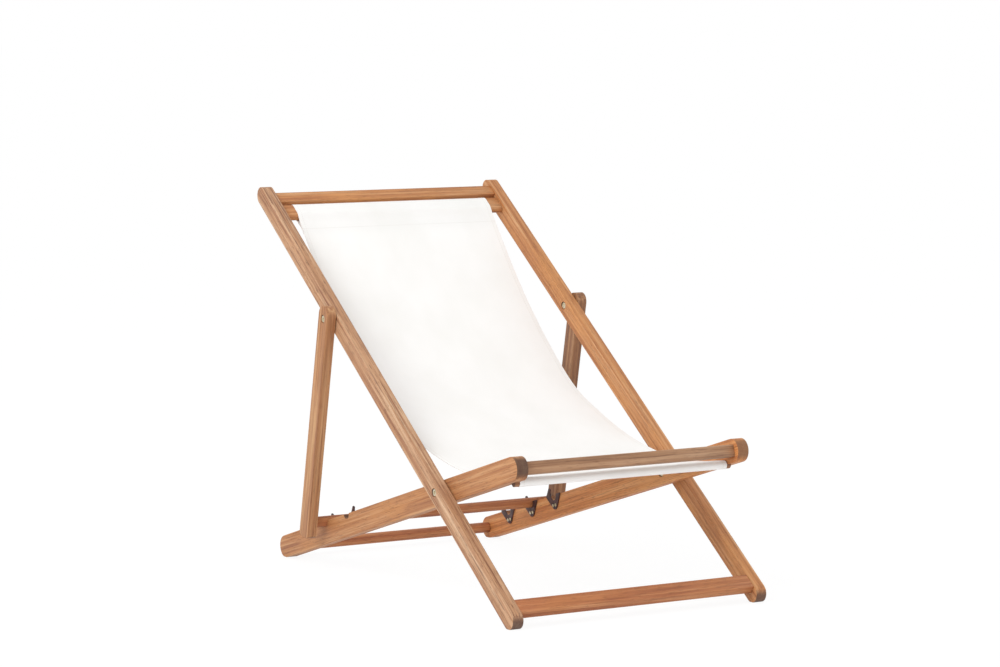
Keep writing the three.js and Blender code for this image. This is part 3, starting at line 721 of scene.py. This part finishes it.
makeBolt("seatPivot", seatRail["inner"], longRail["outer"], 0, "seat_pivot_bolt", "seat_pivot_nut")
makeBolt("strutPivot", longRail["inner"], strut["outer"], bolt["strutAt"],
         "strut_pivot_bolt", "strut_pivot_nut")
for node in ("seat_pivot_washer_right", "seat_pivot_washer_left",
             "strut_pivot_washer_right", "strut_pivot_washer_left"):
    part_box(node)
    for piece in bpy.context.scene.objects:
        if piece.get("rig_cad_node") == node:
            piece.data.materials.clear()
            piece.data.materials.append(boltSteel)
print("pivots made")

# Rest hooks: pressed plates with worn round edges, and their screws
hook = {"edge": 0.6, "edgeSteps": 2, "sharpAngle": 50, "merge": 0.02, "flatAngle": 2, "face": 237.0}
hookScrew = {"spacing": 10.5, "across": 1.5, "radius": 3.3, "height": 1.4, "sides": 28, "crown": 0.9,
             "crownSteps": 4, "shank": 1.5, "length": 11, "tip": 2,
             "slot": 0.7, "slotDepth": 0.7, "slotLength": 3.8}      # the two slots of its cross


# The plate's outline is the solid's own, cleaned of its loose triangles before its edges are rounded
def makeHook(node):
    source = [o for o in bpy.context.scene.objects if o.get("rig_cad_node") == node][0]
    parts = node.split("_")
    piece = bpy.data.objects.new("restHook" + parts[2] + parts[3].capitalize(), source.data.copy())
    bpy.context.scene.collection.objects.link(piece)
    only(piece)
    bpy.ops.object.mode_set(mode="EDIT")
    bpy.ops.mesh.select_all(action="SELECT")
    bpy.ops.mesh.remove_doubles(threshold=hook["merge"] * mm)
    bpy.ops.mesh.dissolve_limited(angle_limit=math.radians(hook["flatAngle"]))
    bpy.ops.object.mode_set(mode="OBJECT")
    softenEdges(piece, hook["edge"], hook["edgeSteps"], hook["sharpAngle"])
    dress(piece, hookEnamel, "seat_frame", [node])


def makeScrew():
    part = hookScrew
    under = hook["face"] - fit["gap"]
    crown = under - part["height"]
    screw = addRound("hookScrew", part["radius"], crown, under, 0, 0, part["sides"])
    bpy.ops.object.mode_set(mode="EDIT")
    pickFaces(screw, lambda middle, normal: normal.x < -squareOn)
    bpy.ops.mesh.bevel(offset=part["crown"] * mm, segments=part["crownSteps"], affect="EDGES")
    pickFaces(screw, lambda middle, normal: normal.x > squareOn)
    bpy.ops.mesh.inset(thickness=(part["radius"] - part["shank"]) * mm, depth=0)
    for reach in (part["length"], part["tip"]):
        bpy.ops.mesh.extrude_region_move(TRANSFORM_OT_translate={"value": (reach * mm, 0, 0)})
    bpy.ops.mesh.merge(type="CENTER")
    bpy.ops.object.mode_set(mode="OBJECT")
    deep = 2 * part["slotDepth"]
    cutAway(screw, [addBlock("slotAlong", (deep, part["slotLength"], part["slot"]), (crown, 0, 0)),
                    addBlock("slotAcross", (deep, part["slot"], part["slotLength"]), (crown, 0, 0))])
    return screw


for index in (1, 2, 3):
    for sideName in ("right", "left"):
        makeHook(f"rest_hook_{index}_{sideName}")
firstScrew = makeScrew()
for index, at in enumerate(seatRail["notches"], 1):
    for letter, shift in (("a", -0.5), ("b", 0.5)):
        along = at + shift * hookScrew["spacing"]
        screw = copyOf(firstScrew, f"hookScrew{index}{letter}Right", (0, along, hookScrew["across"]))
        setInChair(screw, "seat")
        dressPair(screw, f"hookScrew{index}{letter}", [boltSteel], "seat_frame",
                  f"hook_screw_{index}{letter}")
bpy.data.objects.remove(firstScrew, do_unlink=True)
print("hooks and screws made")

# Sling: one strip of canvas, with a pocket sewn round each of its two bars
sling = {
    "cloth": 1.1,             # its thickness at the hems
    "plainShare": 0.6,        # of that, the thickness between the hems
    "clear": 0.35,            # between the cloth and the bar inside it
    "layers": 0.15,           # between two layers that are sewn together
    "sag": 188.0,
    "dropShares": (0, 0.31, 0.57, 0.76, 0.895, 0.972, 1, 0.877, 0.665, 0.37, 0),   # front to head
    "dropSteps": 24,
    "pocketRadius": 9.8,      # from the front rod's middle to the pocket's outer face
    "pocketDepth": 20.6,      # of the head pocket, from face to face
    "within": 1.0,            # how far the hanging line lies inside those faces
    "headSeam": 50.0,         # from the head bar's middle to the seam, along the cloth
    "headLeave": 30.0,        # the end of the hanging line that the head pocket takes the place of
    "headTuck": 35,           # degrees that the cloth bends in, under the head bar
    "frontSeam": 34.0,
    "frontLeave": 22.0,
    "frontLean": 6.0,         # the front pocket takes its direction from here
    "frontMeets": 8.0,        # and meets the hanging line here
    "seamHem": 14.0,          # cloth past a seam
    "wrapSteps": 16, "tuckSteps": 5, "easeRounds": 3,
    "step": 4.0,
    "columns": 80,
    "hem": 13.0,
    "frontFlat": 120.0,       # the first of the run, round the rod, that is flat across
    "sagIn": 160.0,           # the way over which the sag across then grows
    "crossSag": 5.0,
    "ripple": 1.2, "rippleMm": (130, 260), "rippleCut": 3.7,
    "drawnIn": 1.5,           # how far each side edge is drawn in half way along
    "smoothAngle": 50,
    "foldFrom": (0, 370.1, 143.8),    # two places in the chair, in millimetres; this script lays the cloth in the open chair
    "foldTo": (0, -445.8, 249.1),     # and does not turn it between them as the chair folds
}


def inChair(along, across, turn):
    return Vector((layout["seatPivot"][1] + along * math.cos(turn) - across * math.sin(turn),
                   layout["seatPivot"][2] + along * math.sin(turn) + across * math.cos(turn)))


# The line in which the cloth hangs from rod to bar, seen from the side: a smooth curve through its drops
def hangingLine():
    barAlong, barAcross = longBars["headSlingBar"]["at"]
    rodAlong, rodAcross = slingRod["at"]
    top = inChair(barAlong, barAcross + sling["pocketDepth"] / 2 - sling["within"], turnOf["longTurn"])
    low = inChair(rodAlong, rodAcross + sling["pocketRadius"] - sling["within"], turnOf["seatTurn"])
    count = len(sling["dropShares"]) - 1
    knots = [low.lerp(top, i / count) - Vector((0, sling["sag"] * share))
             for i, share in enumerate(sling["dropShares"])]
    knots = [2 * knots[0] - knots[1]] + knots + [2 * knots[-1] - knots[-2]]
    line = []
    for i in range(1, len(knots) - 2):
        a, b, c, d = knots[i - 1:i + 3]
        for k in range(sling["dropSteps"]):
            t = k / sling["dropSteps"]
            line.append(0.5 * (2 * b + (c - a) * t + (2 * a - 5 * b + 4 * c - d) * t * t
                               + (3 * b - a - 3 * c + d) * t * t * t))
    line.append(knots[-2])
    return line


def lengthOf(line):
    return sum((b - a).length for a, b in zip(line, line[1:]))


def pointAt(line, distance):
    for a, b in zip(line, line[1:]):
        piece = (b - a).length
        if distance <= piece:
            return a.lerp(b, distance / piece), (b - a).normalized()
        distance -= piece
    return line[-1], (line[-1] - line[-2]).normalized()


def arc(middle, radius, fromAngle, toAngle, count):
    angles = [fromAngle + (toAngle - fromAngle) * i / count for i in range(count + 1)]
    return [middle + radius * Vector((math.cos(angle), math.sin(angle))) for angle in angles]


# A second layer's place behind the hanging line, at a distance along it
def behind(line, distance):
    point, ahead = pointAt(line, distance)
    return point + Vector((ahead.y, -ahead.x)) * (sling["cloth"] + sling["layers"])


# The whole run of the cloth: tail of the front pocket, round the rod, down and up the seat,
# over the head bar and down to the seam behind
def clothRun():
    line = hangingLine()
    total = lengthOf(line)
    clear = sling["clear"] + sling["cloth"] / 2
    ahead = pointAt(line, sling["frontLean"])[1]
    lean = math.atan2(ahead.y, ahead.x)
    rod = inChair(*slingRod["at"], turnOf["seatTurn"])
    wrap = arc(rod, slingRod["radius"] + clear, lean - math.pi / 2, lean - 3 * math.pi / 2,
               sling["wrapSteps"])
    frontTail = [behind(line, sling["frontSeam"] + sling["seamHem"]), behind(line, sling["frontSeam"])]
    front = frontTail + wrap

    turn = turnOf["longTurn"]
    bar = longBars["headSlingBar"]
    barAlong, barAcross = bar["at"]
    barRound = bar["size"][1] / 2
    barStraight = bar["size"][0] / 2 - barRound
    over = barRound + clear
    upper = inChair(barAlong + barStraight, barAcross, turn)
    lower = inChair(barAlong - barStraight, barAcross, turn)
    frontFace = inChair(barAlong - barStraight, barAcross + over, turn)
    outward = math.radians(layout["longTurn"] + 90)
    inward = outward - math.pi
    wrapTop = arc(upper, over, outward, inward, sling["wrapSteps"])
    tuck = arc(lower, over, inward, inward - math.radians(sling["headTuck"]), sling["tuckSteps"])
    seam = total - sling["headSeam"]
    headTail = [behind(line, seam), behind(line, seam - sling["seamHem"])]

    middle = []
    walked = 0
    for a, b in zip(line, line[1:]):
        walked += (b - a).length
        if sling["frontLeave"] < walked < total - sling["headLeave"]:
            middle.append(b.copy())
    run = front + middle + [frontFace] + wrapTop + tuck + headTail
    seamsAt = {
        "frontTail": lengthOf(frontTail),
        "frontMain": lengthOf(front) + sling["frontSeam"] - sling["frontMeets"],
        "headMain": lengthOf(front + middle) - sling["headSeam"] + sling["headLeave"],
        "headTail": lengthOf(run) - sling["seamHem"],
    }
    return run, seamsAt


def evenly(run, step):
    total = lengthOf(run)
    count = round(total / step)
    return [pointAt(run, total * i / count)[0] for i in range(count)] + [run[-1]], total


def easeCorners(points, rounds):
    for _ in range(rounds):
        eased = [(a + 2 * b + c) / 4 for a, b, c in zip(points, points[1:], points[2:])]
        points = [points[0]] + eased + [points[-1]]
    return points


def clamped(value):
    return max(0.0, min(1.0, value))


def makeSling():
    run, seamsAt = clothRun()
    points, total = evenly(run, sling["step"] / 2)
    points = easeCorners(points, sling["easeRounds"])[::2]
    rows = len(points)
    half = clothLook["halfWidth"]
    clearSelection()
    bpy.ops.mesh.primitive_grid_add(x_subdivisions=sling["columns"], y_subdivisions=rows - 1, size=1)
    cloth = bpy.context.object
    cloth.name = "slingCanvas"
    mesh = cloth.data
    uv = mesh.uv_layers[0] if mesh.uv_layers else mesh.uv_layers.new()
    uv.name = "clothMetres"
    hems = cloth.vertex_groups.new(name="hem")
    wideMm, longMm = sling["rippleMm"]

    # Both pockets are flat across, and the cloth between them sags towards its middle
    flatFrom = seamsAt["headMain"] - sling["seamHem"]
    flat = []                 # each point's place on the cloth laid flat, in millimetres
    for vertex in mesh.vertices:
        share = 2 * vertex.co.x
        row = min(rows - 1, round((vertex.co.y + 0.5) * (rows - 1)))
        x = share * half
        walked = total * row / (rows - 1)
        flat.append((x, walked))
        a, b = points[max(0, row - 1)], points[min(rows - 1, row + 1)]
        way = (b - a).normalized()
        out = Vector((-way.y, way.x))
        free = clamped((walked - sling["frontFlat"]) / sling["sagIn"])
        free *= clamped((flatFrom - walked) / sling["sagIn"])
        ease = free * free * (3 - 2 * free)
        dip = -sling["crossSag"] * ease * (1 - share ** 2)
        ripple = noise.noise(Vector((x / wideMm, walked / longMm, sling["rippleCut"])))
        spot = points[row] + out * (dip + sling["ripple"] * ease * ripple)
        drawn = sling["drawnIn"] * ease * math.sin(math.pi * walked / total)
        vertex.co = (x * (1 - drawn / half) * mm, spot.x * mm, spot.y * mm)
        hems.add([vertex.index], 1.0 if half - abs(x) < sling["hem"] else 0.0, "REPLACE")
    for loop in mesh.loops:
        uv.data[loop.index].uv = [v * mm for v in flat[loop.vertex_index]]
    only(cloth)
    wall = cloth.modifiers.new("clothThickness", "SOLIDIFY")
    wall.thickness = sling["cloth"] * mm
    wall.offset = 0
    wall.vertex_group = "hem"
    wall.thickness_vertex_group = sling["plainShare"]
    bpy.ops.object.modifier_apply(modifier=wall.name)
    bpy.ops.object.mode_set(mode="EDIT")
    bpy.ops.mesh.select_all(action="SELECT")
    bpy.ops.mesh.normals_make_consistent(inside=False)
    bpy.ops.object.mode_set(mode="OBJECT")
    mesh.materials.append(cottonCanvas("plainWeaveCanvas", [v * mm for v in seamsAt.values()]))
    bpy.ops.object.shade_smooth_by_angle(angle=math.radians(sling["smoothAngle"]))
    print("sling run", round(total), "mm, seams at", {k: round(v) for k, v in seamsAt.items()})
    return cloth, total


cloth, clothLength = makeSling()
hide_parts("sling")
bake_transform(cloth)
print("sling made")

# Floor, light and background
studio = {
    "floor": "#FFFFFF", "background": "#FFFFFF",
    "floorSize": 300,
    "floorDrop": 0.0005,      # below the feet, in metres
    "floorWhite": 0.9,        # share of the background's white in the floor, as the camera sees it
    "whiteStrength": 1.02,
    "world": 0.82,
    "lamps": {"keyLight": {"place": (-3.2, -0.9, 2.9), "power": 70, "size": 2.2},
              "fillLight": {"place": (1.8, -3.0, 2.4), "power": 10, "size": 2.4}},
    "lampsAim": (0, 0, 0.35),
}


def lightSeen(tree, rays):
    path = addNode(tree, "ShaderNodeLightPath")
    seen = path.outputs[rays[0]]
    for ray in rays[1:]:
        seen = addNode(tree, "ShaderNodeMath", {"operation": "MAXIMUM"}, {0: seen, 1: path.outputs[ray]})
    return seen


# The floor keeps the chair's shadow and otherwise shows the camera the background's white
def makeFloor():
    clearSelection()
    bpy.ops.mesh.primitive_plane_add(size=studio["floorSize"], location=(0, 0, -studio["floorDrop"]))
    floor = bpy.context.object
    floor.name = "studioFloor"
    material, tree = newMaterial("matPaleFloor")
    surface = addNode(tree, "ShaderNodeBsdfDiffuse", {"Color": studio["floor"]})
    white = addNode(tree, "ShaderNodeEmission",
                    {"Color": studio["background"], "Strength": studio["whiteStrength"]})
    seen = lightSeen(tree, ("Is Camera Ray", "Is Glossy Ray"))
    share = addNode(tree, "ShaderNodeMath", {"operation": "MULTIPLY", 1: studio["floorWhite"]}, {0: seen})
    mixed = addNode(tree, "ShaderNodeMixShader", links={0: share, 1: surface, 2: white})
    addNode(tree, "ShaderNodeOutputMaterial", links={"Surface": mixed})
    floor.data.materials.append(material)


def makeStudio():
    makeFloor()
    world = bpy.context.scene.world or bpy.data.worlds.new("studioWorld")
    bpy.context.scene.world = world
    world.use_nodes = True
    tree = world.node_tree
    tree.nodes.clear()
    seen = lightSeen(tree, ("Is Camera Ray", "Is Glossy Ray", "Is Transmission Ray"))
    level = addNode(tree, "ShaderNodeMapRange", {"To Min": studio["world"], "To Max": 1.0}, {"Value": seen})
    sky = addNode(tree, "ShaderNodeBackground", {"Color": studio["background"]}, {"Strength": level})
    addNode(tree, "ShaderNodeOutputWorld", links={"Surface": sky})

    for name, look in studio["lamps"].items():
        bpy.ops.object.light_add(type="AREA", location=look["place"])
        lamp = bpy.context.object
        lamp.name = name
        lamp.data.energy = look["power"]
        lamp.data.size = look["size"]
        way = Vector(studio["lampsAim"]) - Vector(look["place"])
        lamp.rotation_euler = way.to_track_quat("-Z", "Y").to_euler()


makeStudio()
bpy.context.scene.view_settings.view_transform = "Standard"
print("studio made")

clearSelection()
